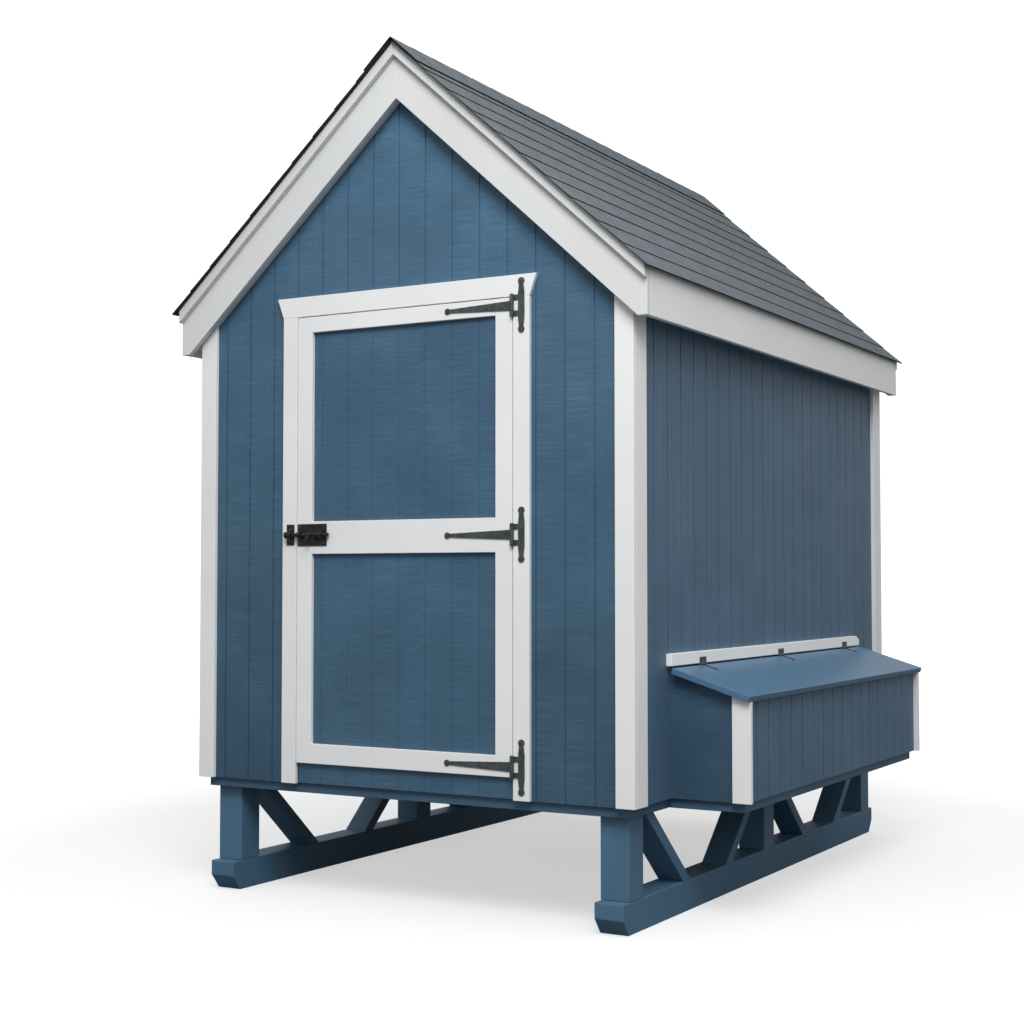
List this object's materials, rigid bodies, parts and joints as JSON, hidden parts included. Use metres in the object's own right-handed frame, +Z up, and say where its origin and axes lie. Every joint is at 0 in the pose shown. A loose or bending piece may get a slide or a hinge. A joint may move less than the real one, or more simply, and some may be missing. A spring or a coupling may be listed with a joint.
{
  "type": "chicken coop",
  "caption": "Gabled timber chicken coop on braced skids, with a hinged front door, a row of nest boxes under a lifting lid and a sliding hen door.",
  "frame": {"origin": "middle of the overall footprint, on the ground under the skids", "axes": "+Z up; -Y out of the front door; +X out towards the nest boxes"},
  "size_m": [1.9977, 2.546, 2.8059],
  "materials": {
    "painted_blue": "satin slate blue paint over brushed wood grain",
    "painted_white": "satin white paint",
    "bare_timber": "bare sawn softwood",
    "shingles": "mineral granules on bitumen felt, matt",
    "black_steel": "black powder coat, low sheen",
    "zinc_steel": "zinc plated"
  },
  "bodies": {
    "house": {"skid_left": "painted_blue", "skid_right": "painted_blue", "truss_posts_left": "painted_blue", "truss_posts_right": "painted_blue", "truss_braces_left": "painted_blue", "truss_braces_right": "painted_blue", "floor_frame": "painted_blue", "floor_deck": "bare_timber", "front_wall_frame": "bare_timber", "rear_wall_frame": "bare_timber", "left_wall_frame": "bare_timber", "right_wall_frame": "bare_timber", "front_siding": "painted_blue", "rear_siding": "painted_blue", "left_siding": "painted_blue", "right_siding": "painted_blue", "end_corner_boards": "painted_white", "side_corner_boards": "painted_white", "door_casing": "painted_white", "door_header": "painted_white", "rafters": "bare_timber", "ridge_board": "bare_timber", "roof_sheathing": "bare_timber", "shingles_left": "shingles", "shingles_right": "shingles", "ridge_caps": "shingles", "rake_boards": "painted_white", "rake_shadow_boards": "painted_white", "rake_packers": "painted_white", "eave_fascias": "painted_white", "soffits": "painted_white", "nest_floor_frame": "painted_blue", "nest_floor": "bare_timber", "nest_sides": "painted_blue", "nest_front": "painted_blue", "nest_corner_boards": "painted_white", "nest_dividers": "bare_timber", "nest_hinge_board": "painted_white", "lid_hinge_plates": "black_steel", "lid_hinge_pins": "zinc_steel", "roost_bars": "bare_timber", "roost_cleats": "bare_timber", "door_hinge_plates": "black_steel", "door_hinge_pins": "black_steel", "latch_keeper": "black_steel", "frame_screws": "black_steel", "hen_door_runners": "painted_white", "hen_door_sill": "painted_white"},
    "door": {"door_panel": "painted_blue", "door_stiles": "painted_white", "door_rails": "painted_white", "door_hinge_straps": "black_steel", "latch_plate": "black_steel", "door_screws": "black_steel"},
    "latch_bolt": {"latch_bolt": "black_steel"},
    "nest_lid": {"nest_lid": "painted_blue", "lid_hinge_straps": "black_steel"},
    "hen_door": {"hen_door": "painted_blue"}
  },
  "joints": [
    {"name": "door_hinge", "type": "hinge", "parent": "house", "child": "door", "pos_m": [0.3225, -1.2118, 1.198], "axis": [0, 0, 1], "range_deg": [0, 160]},
    {"name": "latch_slide", "type": "slide", "parent": "door", "child": "latch_bolt", "axis": [-1, 0, 0], "range_m": [0, 0.02]},
    {"name": "nest_lid_hinge", "type": "hinge", "parent": "house", "child": "nest_lid", "pos_m": [0.7448, -0.031, 0.7907], "axis": [0, -1, 0], "range_deg": [0, 100]},
    {"name": "hen_door_slide", "type": "slide", "parent": "house", "child": "hen_door", "axis": [0, 0, 1], "range_m": [0, 0.36]}
  ]
}
